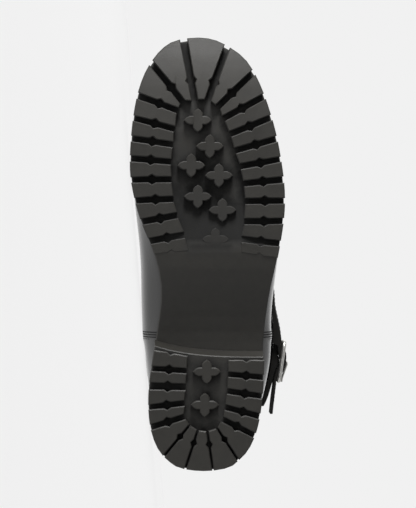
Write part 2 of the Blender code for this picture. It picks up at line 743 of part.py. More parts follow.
def make_strap():
    """Return the ankle strap from its medial end over the instep to its free lateral tail."""
    leaves = STRAP_LEAVES[0]
    leaving_turn = skin_turn(strap_edge_levels(STRAP_LEAVING_PART)[1], leaves)
    medial_step = (math.pi - STRAP_MEDIAL_END) / STRAP_MEDIAL_SECTIONS
    lateral_step = (leaving_turn - math.pi) / STRAP_LATERAL_SECTIONS
    stations = [(STRAP_MEDIAL_END + medial_step * i, -1) for i in range(STRAP_MEDIAL_SECTIONS)]
    stations += [(math.pi + lateral_step * i, 1) for i in range(STRAP_LATERAL_SECTIONS)]
    sections = [strap_section(turn, side) for turn, side in stations]
    sections += [run_section(row, STRAP_WIDTH) for row in reversed(STRAP_RUN)]
    return new_object("strap", loft("strap", sections), PARTS)


def buckle_height():
    """Return the height of the strap's middle at the buckle."""
    level = strap_edge_levels(STRAP_BUCKLE_PART)[1]
    return skin(level, skin_turn(level, BUCKLE_ALONG), 1).z


def make_buckle_strap():
    """Return the short strap that ties the buckle's middle bar to the side of the upper."""
    sections = [run_section(row, BUCKLE_STRAP_WIDTH) for row in BUCKLE_STRAP_RUN]
    return new_object("buckle_strap", loft("buckle_strap", sections), PARTS)


def wire(name, points, thickness, closed, collection):
    """Return a round wire along points in millimetres, as a welded mesh object."""
    curve = bpy.data.curves.new(name, "CURVE")
    curve.dimensions = "3D"
    curve.bevel_depth = thickness / 2.0 * MM
    curve.bevel_resolution = 2
    curve.use_fill_caps = not closed
    spline = curve.splines.new("POLY")
    spline.points.add(len(points) - 1)
    for corner, point in zip(spline.points, points):
        corner.co = (point[0] * MM, point[1] * MM, point[2] * MM, 1.0)
    spline.use_cyclic_u = closed
    drawing = bpy.data.objects.new(name + "_path", curve)
    bpy.context.scene.collection.objects.link(drawing)
    bpy.context.view_layer.update()
    mesh = bpy.data.meshes.new_from_object(drawing.evaluated_get(bpy.context.evaluated_depsgraph_get()))
    bpy.data.objects.remove(drawing)
    shape = bmesh.new()
    shape.from_mesh(mesh)
    bmesh.ops.remove_doubles(shape, verts=shape.verts, dist=0.00001)
    bmesh.ops.recalc_face_normals(shape, faces=shape.faces)
    shape.to_mesh(mesh)
    shape.free()
    return new_object(name, mesh, collection)


def buckle_point(run, height):
    """Return a boot point from a place in the buckle's own plane."""
    return Vector((
        BUCKLE_ALONG + run * math.cos(BUCKLE_TURN),
        BUCKLE_SIDE + run * math.sin(BUCKLE_TURN),
        buckle_height() + height,
    ))


def make_buckle_frame():
    """Return the buckle's rounded frame with its middle bar."""
    centre_run = BUCKLE_HALF_LENGTH - BUCKLE_CORNER
    centre_height = BUCKLE_HALF_HEIGHT - BUCKLE_CORNER
    points = []
    for quarter, (run, height) in enumerate(((1, 1), (-1, 1), (-1, -1), (1, -1))):
        for i in range(BUCKLE_CORNER_STEPS + 1):
            turn = math.pi / 2.0 * (quarter + i / BUCKLE_CORNER_STEPS)
            points.append(buckle_point(
                run * centre_run + BUCKLE_CORNER * math.cos(turn),
                height * centre_height + BUCKLE_CORNER * math.sin(turn),
            ))
    frame = wire("buckle_frame", points, BUCKLE_WIRE, True, PARTS)
    ends = [buckle_point(0.0, -BUCKLE_HALF_HEIGHT), buckle_point(0.0, BUCKLE_HALF_HEIGHT)]
    bar = wire("buckle_bar", ends, BUCKLE_BAR, False, TOOLS)
    bar.hide_render = True
    bar.display_type = "WIRE"
    union = frame.modifiers.new("bar", "BOOLEAN")
    union.operation = "UNION"
    union.solver = "EXACT"
    union.object = bar
    return frame


def make_prong(strap):
    """Return the prong, and cut its hole in the strap."""
    height = buckle_height()
    rear = buckle_point(-BUCKLE_HALF_LENGTH, 0.0)
    root = BUCKLE_SIDE + BUCKLE_BAR / 2.0 + GAP
    crown = run_side(STRAP_RUN, BUCKLE_ALONG) + PRONG_WIRE / 2.0 + GAP
    rest = rear.y + (BUCKLE_WIRE + PRONG_WIRE) / 2.0 + GAP
    route = [
        (BUCKLE_ALONG, root, height), (BUCKLE_ALONG, (root + crown) / 2.0, height),
        (BUCKLE_ALONG - PRONG_CROWN_START, crown - PRONG_SAG, height),
        (BUCKLE_ALONG - PRONG_CROWN_END, crown, height),
        (rear.x + PRONG_TIP[0], rest + 2.0 * PRONG_SAG, height), (rear.x + PRONG_TIP[1], rest, height),
    ]
    prong = wire("buckle_prong", route, PRONG_WIRE, False, PARTS)
    below = (BUCKLE_ALONG, root - PRONG_WIRE, height)
    above = (BUCKLE_ALONG - PRONG_CROWN_START, crown + PRONG_WIRE, height)
    hole = wire("prong_hole", [below] + route[:3] + [above], PRONG_WIRE + 4.0 * GAP, False, TOOLS)
    hole.hide_render = True
    hole.display_type = "WIRE"
    cut = strap.modifiers.new("prong_hole", "BOOLEAN")
    cut.operation = "DIFFERENCE"
    cut.solver = "EXACT"
    cut.object = hole
    return prong


def finish(item, name, colour, roughness, metallic=0.0):
    """Give an object its material and shading."""
    material = bpy.data.materials.new(name)
    material.use_nodes = True
    shader = material.node_tree.nodes["Principled BSDF"]
    shader.inputs["Base Color"].default_value = (*colour, 1.0)
    shader.inputs["Roughness"].default_value = roughness
    shader.inputs["Metallic"].default_value = metallic
    item.data.materials.clear()
    item.data.materials.append(material)
    item.data.shade_smooth()
    item.data.set_sharp_from_angle(angle=SHARP_ANGLE)


def lay_down(items):
    """Lay the boot on the hull face under its middle on the medial side, centred on the origin."""
    bpy.context.view_layer.update()
    graph = bpy.context.evaluated_depsgraph_get()
    hull = bmesh.new()
    for item in items:
        for vertex in item.evaluated_get(graph).data.vertices:
            hull.verts.new(vertex.co)
    middle = sum((vertex.co for vertex in hull.verts), Vector()) / len(hull.verts)
    bmesh.ops.convex_hull(hull, input=hull.verts)
    bmesh.ops.triangulate(hull, faces=hull.faces)
    medial = Vector((0.0, -1.0, 0.0))
    rest = None
    for face in hull.faces:
        corners = [vertex.co.xz for vertex in face.verts]
        turns = [(corners[i] - middle.xz).cross(corners[i - 1] - middle.xz) for i in range(3)]
        same_way = all(turn > 0.0 for turn in turns) or all(turn < 0.0 for turn in turns)
        if same_way and face.normal.dot(medial) > 0.0:
            rest = face.normal.copy()
    down = -rest
    toe = Vector((1.0, 0.0, 0.0))
    toe = (toe - down * toe.dot(down)).normalized()
    ankle = down.cross(toe)
    turn = Matrix((-toe, -ankle, down)).to_4x4()
    places = [turn @ vertex.co for vertex in hull.verts]
    hull.free()
    low = Vector([min(place[axis] for place in places) for axis in range(3)])
    high = Vector([max(place[axis] for place in places) for axis in range(3)])
    shift = Matrix.Translation((-(low.x + high.x) / 2.0, -(low.y + high.y) / 2.0, -low.z))
    return shift @ turn


def main():
    for item in list(bpy.data.objects):
        bpy.data.objects.remove(item)
    for collection in (PARTS, TOOLS):
        bpy.context.scene.collection.children.link(collection)
    outsole = make_outsole()
    heel = make_heel()
    upper = make_upper()
    insole = make_insole()
    strap = make_strap()
    buckle_strap = make_buckle_strap()
    frame = make_buckle_frame()
    prong = make_prong(strap)
    finish(outsole, "outsole_rubber", RUBBER, 0.55)
    finish(heel, "heel_rubber", RUBBER, 0.55)
    finish(upper, "upper_leather", LEATHER, 0.38)
    finish(insole, "insole_felt", FELT, 0.95)
    finish(strap, "strap_leather", LEATHER, 0.5)
    finish(buckle_strap, "buckle_strap_leather", LEATHER, 0.5)
    finish(frame, "buckle_steel", STEEL, 0.25, 1.0)
    finish(prong, "prong_steel", STEEL, 0.25, 1.0)
    parts = [outsole, heel, upper, insole, strap, buckle_strap, frame, prong]
    axes = bpy.data.objects.new("boot_axes", None)
    PARTS.objects.link(axes)
    placement = lay_down(parts)
    for item in parts + list(TOOLS.objects):
        item.parent = axes
    axes.matrix_world = placement
    bpy.context.view_layer.update()


PARTS = bpy.data.collections.new("winter_boot")
TOOLS = bpy.data.collections.new("winter_boot_tools")
main()
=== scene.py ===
# %% [markdown]
# # A black winter boot, seen from below
# The boot lies on its inner side and shows its whole tread: a moulded rubber sole with a ring of lugs, a
# separate heel, a leather upper with a raised seam on each side, and an ankle strap with a buckle. Its
# solids come from the CAD frame. This lesson dresses them: it softens edges, adds folds, stitches and
# finishes, and then sets the camera and the light.

# %% Load the CAD boot
import json
import math

import bmesh
import bpy
from mathutils import Matrix, Vector, noise
from mathutils.bvhtree import BVHTree


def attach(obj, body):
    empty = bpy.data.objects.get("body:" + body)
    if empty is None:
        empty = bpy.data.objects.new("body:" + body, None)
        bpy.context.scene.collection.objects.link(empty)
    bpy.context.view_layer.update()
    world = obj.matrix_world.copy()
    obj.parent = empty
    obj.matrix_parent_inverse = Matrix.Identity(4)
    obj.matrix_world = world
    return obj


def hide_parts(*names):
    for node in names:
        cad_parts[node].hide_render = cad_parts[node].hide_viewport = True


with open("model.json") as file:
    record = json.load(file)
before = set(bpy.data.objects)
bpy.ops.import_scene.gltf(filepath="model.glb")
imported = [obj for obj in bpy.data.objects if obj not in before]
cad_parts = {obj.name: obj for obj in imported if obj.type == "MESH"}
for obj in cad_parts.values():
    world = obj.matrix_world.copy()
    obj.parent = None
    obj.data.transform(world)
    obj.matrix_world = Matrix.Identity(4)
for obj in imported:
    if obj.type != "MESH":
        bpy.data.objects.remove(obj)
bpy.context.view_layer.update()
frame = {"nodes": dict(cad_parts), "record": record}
nodes = frame["nodes"]
print("CAD nodes:", sorted(nodes))

# %% [markdown]
# ## The boot's own axes
# A boot is easiest to think of standing up: along from the heel to the toe, side towards the outer ankle,
# and height above the tread. The record's two mounts are spots of the tread on one line along the boot,
# so they give these axes, and everything below is placed in millimetres on them.

# %% Axes from the tread mounts
# The heel's mount lies here on the boot's axes
MM = 0.001
HEEL_SPOT = Vector((46.3, 29.0, 0.0))
mounts = {mount["name"]: mount for mount in frame["record"]["mounts"]}
heel_spot = Vector(mounts["heel_tread"]["pos_m"])
ball_spot = Vector(mounts["ball_tread"]["pos_m"])
up_axis = -Vector(mounts["heel_tread"]["axis"]).normalized()
toe_axis = ball_spot - heel_spot
toe_axis = (toe_axis - up_axis * toe_axis.dot(up_axis)).normalized()
outer_axis = up_axis.cross(toe_axis)
turned = Matrix((toe_axis, outer_axis, up_axis)).transposed().to_4x4()
BOOT = Matrix.Translation(heel_spot) @ turned @ Matrix.Translation(-HEEL_SPOT * MM)
TO_BOOT = BOOT.inverted()


def at(along, side, height):
    """Return the world point of a place on the boot, given in millimetres."""
    return BOOT @ (Vector((along, side, height)) * MM)


print("toe points to", [round(value, 3) for value in toe_axis], "and the tread faces",
      [round(-value, 3) for value in up_axis])

# %% [markdown]
# ## Camera
# The picture is taken from straight below a standing boot, so the camera looks at the tread square on and
# is rolled until the toe points up. It stands a little to the inner side, as low as the floor lets it,
# because the boot lies there. The lens is set from the size of the tread in the frame.

# %% Camera square to the tread
# Millimetres: the frame's height at the tread, distance to the tread, the eye's side, the frame's middle
FRAME_TALL = 349.6
CAMERA_REACH = 1350.0
EYE_SIDE = -27.0
MIDDLE = (149.5, 1.4, 0.0)
eye = at(MIDDLE[0], EYE_SIDE, -CAMERA_REACH)
look = (at(*MIDDLE) - eye).normalized()
right = look.cross(toe_axis).normalized()
camera = bpy.data.cameras.new("camera")
camera.sensor_width = 36.0
camera.clip_start = 0.01
camera.lens = camera.sensor_width * CAMERA_REACH / FRAME_TALL
camera_object = bpy.data.objects.new("camera", camera)
bpy.context.scene.collection.objects.link(camera_object)
camera_object.matrix_world = Matrix.Translation(eye) @ Matrix(
    (right, right.cross(look), -look)).transposed().to_4x4()
bpy.context.scene.camera = camera_object
print("camera height above the floor", round(eye.z, 4), "lens", round(camera.lens, 1))

# %% [markdown]
# ## Shader maths
# Node trees are hard to read when every sum is a node made by hand. This small class wraps a socket, so
# that a sum written in Python adds its own Math nodes, and one method makes any other node.


# %% A socket that can be used in sums
class Paint:
    """A socket of a node tree. Sums of sockets and numbers add Math nodes."""

    def __init__(self, tree, socket=None):
        self.tree = tree
        self.socket = socket

    def add(self, kind, settings=None, inputs=None, output=0):
        """Add a node, set it up, feed its sockets, and return one of its outputs."""
        made = self.tree.nodes.new(kind)
        for name, value in (settings or {}).items():
            setattr(made, name, value)
        for key, value in (inputs or {}).items():
            if isinstance(value, Paint):
                self.tree.links.new(value.socket, made.inputs[key])
            else:
                made.inputs[key].default_value = value
        return Paint(self.tree, made.outputs[output])

    def maths(self, operation, *values):
        """Add a Math node."""
        return self.add("ShaderNodeMath", {"operation": operation}, dict(enumerate(values)))

    def __add__(self, other):
        return self.maths("ADD", self, other)

    def __radd__(self, other):
        return self.maths("ADD", other, self)

    def __sub__(self, other):
        return self.maths("SUBTRACT", self, other)

    def __rsub__(self, other):
        return self.maths("SUBTRACT", other, self)

    def __mul__(self, other):
        return self.maths("MULTIPLY", self, other)

    def __rmul__(self, other):
        return self.maths("MULTIPLY", other, self)

    def step(self, start, end, low, high):
        """Run smoothly from low to high while this socket runs from start to end."""
        return self.add("ShaderNodeMapRange", {"interpolation_type": "SMOOTHSTEP"}, {
            "Value": self, "From Min": start, "From Max": end, "To Min": low, "To Max": high})

    def noise(self, scale, detail):
        """Add a noise pattern over these coordinates, with a scale in patches per metre."""
        return self.add("ShaderNodeTexNoise", None, {"Vector": self, "Scale": scale, "Detail": detail})

    def blend(self, part, first, second):
        """Mix two colours by a part from 0 to 1."""
        return self.add("ShaderNodeMix", {"data_type": "RGBA"}, {0: part, 6: first, 7: second}, 2)

    def bump(self, height, depth, strength=1.0, under=None):
        """Turn a height pattern into a surface normal."""
        inputs = {"Height": height, "Distance": depth, "Strength": strength}
        if under is not None:
            inputs["Normal"] = under
        return self.add("ShaderNodeBump", None, inputs)


def new_finish(name):
    """Return a new material, its shader's sockets and a Paint for its tree with Object coordinates."""
    material = bpy.data.materials.new(name)
    material.use_nodes = True
    tree = material.node_tree
    shader = tree.nodes["Principled BSDF"].inputs
    place = Paint(tree).add("ShaderNodeTexCoord", output="Object")
    return material, shader, place


def feed(paint, socket):
    """Link a pattern into a shader's socket, or set a plain number on it."""
    if isinstance(paint, Paint):
        paint.tree.links.new(paint.socket, socket)
    else:
        socket.default_value = paint


# %% [markdown]
# ## Rubber
# The sole is moulded black rubber: matt, a little uneven in gloss where it has rubbed on the ground, with
# the fine texture of the mould. Noise at three sizes does this: broad for gloss, middle for scuffs, fine
# for the mould's surface. The grooves and the channel get painted shade, a darker colour, and a duller
# gloss. An attribute of the mesh, measured further down, says how much painted shade each corner gets.


# %% Rubber of the sole and heel
RUBBER_DARK = (0.0085, 0.0080, 0.0066, 1.0)
RUBBER_RUBBED = (0.0250, 0.0230, 0.0185, 1.0)
# The darkest colour is painted shade for the grooves and the channel
RUBBER_SHADED = (0.0040, 0.0039, 0.0035, 1.0)


def moulded_rubber(name):
    """Return a matt black rubber with shade painted into its grooves, where it is also dullest."""
    material, shader, place = new_finish(name)
    broad = place.noise(38.0, 3.0)
    scuff = place.noise(210.0, 4.0)
    mould = place.noise(1500.0, 2.0)
    # Painted shade: this attribute darkens the colour and dulls the gloss in the grooves and the channel
    deep = place.add("ShaderNodeAttribute", {"attribute_name": "painted_shade"}, output="Fac")
    rubbed = place.blend(broad * 0.55 + scuff * 0.45, RUBBER_DARK, RUBBER_RUBBED)
    feed(place.blend(deep, rubbed, RUBBER_SHADED), shader["Base Color"])
    feed(broad * 0.16 + deep * 0.45 + 0.42, shader["Roughness"])
    feed(place.bump(mould * 0.6 + scuff * 0.4, 0.00022, 0.6), shader["Normal"])
    return material


sole_rubber = moulded_rubber("sole_rubber")
heel_rubber = moulded_rubber("heel_rubber")
print("rubbers:", sole_rubber.name, heel_rubber.name)

# %% [markdown]
# ## Leather
# Black smooth leather has a grain of small cells about a millimetre wide, with finer pores, and a finish
# that shines more where it is stretched. The cells come from a Voronoi pattern, the pores from noise, and
# a broad noise changes the gloss. The upper also has three dark pressed lines along each side seam. They
# all lie at the same places along the boot, so their distance along the toe axis is enough to draw them.


# %% Leather of the upper and the straps
SEAM_LINES = (90.9, 92.6, 94.3)
SEAM_LINE_EDGE = (0.15 * MM, 0.65 * MM)
SEAM_LINE_DEPTH = 0.6 * MM
SEAM_BLACK = (0.001, 0.001, 0.001, 1.0)


def grained_leather(name, dark, light, roughness, cells, depth, coat, gleam, seams=()):
    """Return a black leather with a cell grain, and dark lines across it where seams are."""
    material, shader, place = new_finish(name)
    cell = place.add("ShaderNodeTexVoronoi", {"feature": "SMOOTH_F1"},
                     {"Vector": place, "Scale": cells, "Smoothness": 0.35})
    pores = place.noise(cells * 2.4, 2.0)
    broad = place.noise(30.0, 3.0)
    along = place.add("ShaderNodeVectorMath", {"operation": "DOT_PRODUCT"}, {0: place, 1: toe_axis},
                      "Value") - toe_axis.dot(at(0.0, 0.0, 0.0))
    line = 0.0
    for seam in seams:
        off = along - seam * MM
        line = line + off.maths("ABSOLUTE", off).step(*SEAM_LINE_EDGE, 1.0, 0.0)
    tanned = place.blend(broad * 0.7 + pores * 0.3, (*dark, 1.0), (*light, 1.0))
    feed(place.blend(line * 0.9, tanned, SEAM_BLACK), shader["Base Color"])
    feed(broad * 0.18 + line * 0.4 + (roughness - 0.09), shader["Roughness"])
    grain = place.bump(cell * 0.7 + pores * 0.3, depth, 0.7)
    feed(place.bump(line, -SEAM_LINE_DEPTH, 1.0, grain), shader["Normal"])
    feed(coat * (1.0 - line), shader["Coat Weight"])
    shader["Coat Roughness"].default_value = 0.2
    shader["Coat IOR"].default_value = 1.5
    shader["Specular IOR Level"].default_value = gleam
    return material


upper_leather = grained_leather("upper_leather", (0.004, 0.0039, 0.0036), (0.009, 0.0087, 0.0082),
                                roughness=0.42, cells=800.0, depth=0.00012, coat=0.9, gleam=0.5,
                                seams=SEAM_LINES)
strap_leather = grained_leather("strap_leather", (0.012, 0.0118, 0.011), (0.024, 0.023, 0.0215),
                                roughness=0.72, cells=1000.0, depth=0.00014, coat=0.0, gleam=0.15)
print("leathers:", upper_leather.name, strap_leather.name)

# %% [markdown]
# ## Nickel, felt and lining
# The buckle is nickel-plated and polished by wear, so its gloss changes a little. The insole is a grey
# felt, and the inside of the upper is a dark woven lining.


# %% Metal and cloth finishes
def worn_nickel(name):
    """Return bright plated metal with fine wear."""
    material, shader, place = new_finish(name)
    wear = place.noise(320.0, 4.0)
    feed(place.blend(wear, (0.70, 0.69, 0.66, 1.0), (0.90, 0.89, 0.86, 1.0)), shader["Base Color"])
    feed(wear * 0.22 + 0.34, shader["Roughness"])
    feed(place.bump(place.noise(1400.0, 3.0), 0.00004, 0.4), shader["Normal"])
    shader["Metallic"].default_value = 1.0
    return material


def pressed_felt(name):
    """Return a dark grey felt."""
    material, shader, place = new_finish(name)
    fluff = place.noise(900.0, 5.0)
    broad = place.noise(60.0, 2.0)
    feed(place.blend(fluff * 0.6 + broad * 0.4, (0.045, 0.043, 0.041, 1.0), (0.13, 0.125, 0.12, 1.0)),
         shader["Base Color"])
    feed(place.bump(fluff, 0.0004, 0.8), shader["Normal"])
    shader["Roughness"].default_value = 0.95
    shader["Sheen Weight"].default_value = 0.3
    return material


nickel = worn_nickel("worn_nickel")
felt = pressed_felt("pressed_felt")
print("finishes:", nickel.name, felt.name)

# %% Lining and thread
WEAVE_WAVES = 4200.0


def woven_lining(name):
    """Return a dark plain weave."""
    material, shader, place = new_finish(name)
    warp = place.add("ShaderNodeSeparateXYZ", None, {0: place}, 0) * WEAVE_WAVES
    weft = place.add("ShaderNodeSeparateXYZ", None, {0: place}, 1) * WEAVE_WAVES
    weave = warp.maths("SINE", warp) * weft.maths("SINE", weft) * 0.5 + 0.5
    broad = place.noise(45.0, 3.0)
    feed(place.blend(weave * 0.6 + broad * 0.4, (0.018, 0.017, 0.016, 1.0), (0.06, 0.056, 0.052, 1.0)),
         shader["Base Color"])
    feed(place.bump(weave, 0.0002, 0.6), shader["Normal"])
    shader["Roughness"].default_value = 0.9
    shader["Sheen Weight"].default_value = 0.2
    return material


def waxed_thread(name):
    """Return black waxed thread with its twist."""
    material, shader, place = new_finish(name)
    twist = place.noise(2600.0, 2.0)
    feed(place.blend(twist, (0.010, 0.010, 0.010, 1.0), (0.045, 0.043, 0.041, 1.0)), shader["Base Color"])
    feed(twist * 0.2 + 0.42, shader["Roughness"])
    feed(place.bump(twist, 0.0001, 0.6), shader["Normal"])
    return material


lining = woven_lining("woven_lining")
thread = waxed_thread("waxed_thread")
print("finishes:", lining.name, thread.name)

# %% [markdown]
# ## Working on copies
# A CAD node is never changed. A piece that needs work starts as a copy of its solid with its doubled
# corners merged, which is then shaped and stands in for the node. These helpers copy, apply a modifier and
# hand over.

# %% Helpers for pieces
MERGE_REACH = 0.002 * MM


def select_only(piece):
    """Make a piece the only selected and the active object."""
    bpy.ops.object.select_all(action="DESELECT")
    piece.select_set(True)
    bpy.context.view_layer.objects.active = piece


def merged_copy(node, name, pair_bend=60.0):
    """Return a merged copy of a node, in quads where triangles pair up at small bends."""
    piece = bpy.data.objects.new(name, nodes[node].data.copy())
    bpy.context.scene.collection.objects.link(piece)
    select_only(piece)
    bpy.ops.mesh.customdata_custom_splitnormals_clear()
    bpy.ops.object.mode_set(mode="EDIT")
    bpy.ops.mesh.select_all(action="SELECT")
    bpy.ops.mesh.remove_doubles(threshold=MERGE_REACH)
    bpy.ops.mesh.tris_convert_to_quads(face_threshold=math.radians(pair_bend),
                                       shape_threshold=math.radians(60.0))
    bpy.ops.object.mode_set(mode="OBJECT")
    return piece


def apply_modifier(piece, name, kind, **settings):
    """Add a modifier with its settings and apply it."""
    select_only(piece)
    modifier = piece.modifiers.new(name, kind)
    for key, value in settings.items():
        setattr(modifier, key, value)
    bpy.ops.object.modifier_apply(modifier=name)


def hand_over(piece, finish, slot, *replaced):
    """Give a piece its finish, let it ride on the boot and stand for its nodes."""
    if not piece.data.materials or finish.name not in piece.data.materials:
        piece.data.materials.clear()
        piece.data.materials.append(finish)
    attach(piece, "root")
    for node in replaced:
        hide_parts(node)
    print(piece.name, "faces:", len(piece.data.polygons))


# %% [markdown]
# ## Rubber sole and heel
# The sole and the heel are moulded pieces whose solids already have every lug, stud and sipe with its
# chamfer. Their copies are shaded smooth over gentle bends, so that the waist is one sweep. They also get
# smaller faces, because the painted shade that darkens their grooves is stored at face corners.


# %% Finer faces on the rubber
SPLIT_ROUNDS = 4
FLAT_BEND = 0.01


def split_long_edges(piece, longest):
    """Halve a piece's long edges until its faces are small enough for a gradient, and drop slivers."""
    shape = bmesh.new()
    shape.from_mesh(piece.data)
    bmesh.ops.triangulate(shape, faces=shape.faces[:])
    for _ in range(SPLIT_ROUNDS):
        flat = [edge for edge in shape.edges if edge.is_manifold and edge.calc_face_angle() < FLAT_BEND]
        bmesh.ops.beautify_fill(shape, faces=shape.faces[:], edges=flat)
        long_edges = [edge for edge in shape.edges if edge.calc_length() > longest]
        bmesh.ops.subdivide_edges(shape, edges=long_edges, cuts=1)
        bmesh.ops.triangulate(shape, faces=shape.faces[:])
        bmesh.ops.dissolve_degenerate(shape, dist=MERGE_REACH, edges=shape.edges[:])
        bmesh.ops.triangulate(shape, faces=shape.faces[:])
    shape.to_mesh(piece.data)
    shape.free()


# %% [markdown]
# ## Painted shade
# How sheltered a corner is can be measured with rays: some are sent out over the corner's face, and the
# part of them that soon meets a wall is painted on as shade. Shade is also painted along the channel
# between the lugs of the forefoot, darkest at its rear end and its lip, thinning out towards the toe.

# %% Painted shade in the channel
# Millimetres on the boot's axes: the toe spring lifts the tread beyond its start by a square law
TOE_SPRING_START = 225.0
TOE_SPRING_RISE = 13.0 / 75.0 ** 2
CHANNEL_END = (151.0, 157.0)
CHANNEL_FADE = (172.0, 225.0)
SHADED_DEPTH = (0.05, 0.8)
LIP_MIDDLE = (155.0, 3.0)
LIP_WIDTH = 8.0
LIP_SIDES = (14.0, 19.0)
LIP_SHADE = 0.85


def ramp(value, start, end):
    """Return 0 before start, 1 after end and a straight line between them."""
    return min(max((value - start) / (end - start), 0.0), 1.0)


def channel_shade_at(along, side, height):
    """Return how much shade is painted on a place of the tread, from 0 to 1."""
    depth = height - TOE_SPRING_RISE * max(along - TOE_SPRING_START, 0.0) ** 2
    # Painted shade along the channel and on the lip at its rear end
    channel = ramp(along, *CHANNEL_END) * (1.0 - ramp(along, *CHANNEL_FADE)) * ramp(depth, *SHADED_DEPTH)
    lip = max(1.0 - abs(along - LIP_MIDDLE[0]) / LIP_WIDTH, 0.0)
    lip *= 1.0 - ramp(abs(side - LIP_MIDDLE[1]), *LIP_SIDES)
    return max(channel, LIP_SHADE * lip)


print("dust in the channel's middle", round(channel_shade_at(165.0, 0.0, 3.0), 2))

# %% Painted shade in the grooves
RAYS = 16
OFF_FACE = 0.05 * MM
TOWARDS_MIDDLE = 0.2
SHADE_WEIGHT = 1.6
outlook = []
for step in range(RAYS):
    rise = math.sqrt(1.0 - (step + 0.5) / RAYS)
    turn = step * math.pi * (3.0 - math.sqrt(5.0))
    flat = math.sqrt(1.0 - rise * rise)
    outlook.append(Vector((flat * math.cos(turn), flat * math.sin(turn), rise)))


def paint_shade(piece, reach):
    """Store on each face corner its painted shade: the channel's, plus the part of its outlook that walls
    within reach block.
    """
    tree = BVHTree.FromObject(piece, bpy.context.evaluated_depsgraph_get())
    painted_shade = piece.data.attributes.new("painted_shade", "FLOAT", "CORNER")
    for face in piece.data.polygons:
        stand = face.normal.to_track_quat("Z", "Y").to_matrix()
        for loop in face.loop_indices:
            corner = piece.data.vertices[piece.data.loops[loop].vertex_index].co
            start = corner.lerp(face.center, TOWARDS_MIDDLE) + face.normal * OFF_FACE
            blocked = sum(tree.ray_cast(start, stand @ ray, reach)[0] is not None for ray in outlook)
            # Painted shade: the channel's share is added to the share of blocked rays
            channel_shade = channel_shade_at(*(TO_BOOT @ corner / MM))
            painted_shade.data[loop].value = min(blocked / RAYS * SHADE_WEIGHT + channel_shade, 1.0)


print("rays over each corner:", len(outlook))

# %% Rubber on the sole and heel
LONGEST_EDGE = 6.0 * MM
SHADE_REACH = 7.0 * MM
SMOOTH_BEND = math.radians(28.0)
for node, name, finish, slot in (("outsole", "lugged_sole", sole_rubber, "outsole_rubber"),
                                 ("heel", "lugged_heel", heel_rubber, "heel_rubber")):
    rubber = merged_copy(node, name, pair_bend=0.6)
    split_long_edges(rubber, LONGEST_EDGE)
    paint_shade(rubber, SHADE_REACH)
    select_only(rubber)
    bpy.ops.object.shade_smooth_by_angle(angle=SMOOTH_BEND)
    hand_over(rubber, finish, slot, node)

# %% [markdown]
# ## Upper
# The upper is soft leather over a foot: it has deep folds over the ball where the foot bends, folds round
# the ankle and slack in the shaft. Subdivision turns the solid's rings into a smooth skin. Each main fold
# is then listed: its middle, its direction, its length, and how wide and deep its trough is, with
# a low ridge on both sides where the leather bulges.

# %% Smooth skin from the solid
upper = merged_copy("upper", "leather_upper")
apply_modifier(upper, "smooth_skin", "SUBSURF", levels=2, render_levels=2)
print("upper faces:", len(upper.data.polygons))

# %% Folds listed one by one
# Middle (along, side, height), direction, half length, half width, depth in millimetres, and bend
FOLDS = [
    ((222, 0, 84), (0, 1, 0), 36, 3.2, 1.5, -0.010),
    ((208, 4, 91), (0, 1, 0), 40, 3.6, 1.9, -0.011),
    ((236, -4, 77), (0, 1, 0), 30, 2.8, 1.0, -0.008),
    ((228, 38, 62), (0.25, 0.2, -1), 24, 3.0, 1.2, 0.004),
    ((214, -38, 62), (0.3, -0.2, -1), 24, 3.0, 1.2, 0.004),
    ((202, 44, 60), (0.5, 0.1, -1), 26, 3.6, 1.3, 0.006),
    ((196, -44, 58), (0.4, -0.1, -1), 24, 3.4, 1.2, 0.006),
    ((152, 6, 142), (0, 1, -0.1), 42, 5.0, 2.4, -0.012),
    ((148, -4, 162), (0, 1, 0.15), 40, 5.5, 2.0, -0.010),
    ((145, 2, 190), (0, 1, -0.2), 34, 6.0, 1.4, -0.008),
    ((112, 52, 138), (1, 0, 0.35), 40, 5.0, 1.8, -0.003),
    ((106, -42, 140), (1, 0, 0.3), 40, 5.0, 1.8, -0.003),
    ((104, 53, 166), (1, 0, 0.15), 38, 6.0, 1.5, 0.003),
    ((100, -43, 170), (1, 0, 0.2), 38, 6.0, 1.5, 0.003),
    ((14, 4, 128), (0, 1, 0.1), 34, 4.4, 1.6, 0.010),
    ((13, -2, 146), (0, 1, -0.1), 34, 5.0, 1.8, 0.010),
    ((12, 4, 168), (0, 1, 0.15), 30, 5.5, 1.3, 0.008),
    ((40, 47, 150), (1, 0, -0.3), 30, 5.0, 1.4, 0.004),
    ((40, -38, 152), (1, 0, -0.3), 30, 5.0, 1.4, 0.004),
    ((86, 54, 205), (1, 0, 0.25), 44, 7.0, 1.3, 0.003),
    ((70, -43, 208), (1, 0, -0.2), 44, 7.0, 1.3, 0.003),
]
FOLD_REACH = 1.4
RIDGE_OFF = 2.1
RIDGE_HIGH = 0.42


def fold_depth(place, normal):
    """Return how far the folds move a point of the boot along its normal, in millimetres."""
    total = 0.0
    for middle, direction, half_length, half_width, depth, bend in FOLDS:
        away = place - Vector(middle)
        if away.length > half_length * FOLD_REACH:
            continue
        run = Vector(direction)
        run = (run - normal * run.dot(normal)).normalized()
        along = away.dot(run)
        across = away.dot(normal.cross(run)) - bend * along * along
        fade = max(1.0 - (along / half_length) ** 2, 0.0) ** 1.5
        trough = math.exp(-((across / half_width) ** 2))
        ridge = math.exp(-(((abs(across) - RIDGE_OFF * half_width) / half_width) ** 2))
        total += fade * depth * (RIDGE_HIGH * ridge - trough)
    return total


print("folds:", len(FOLDS))

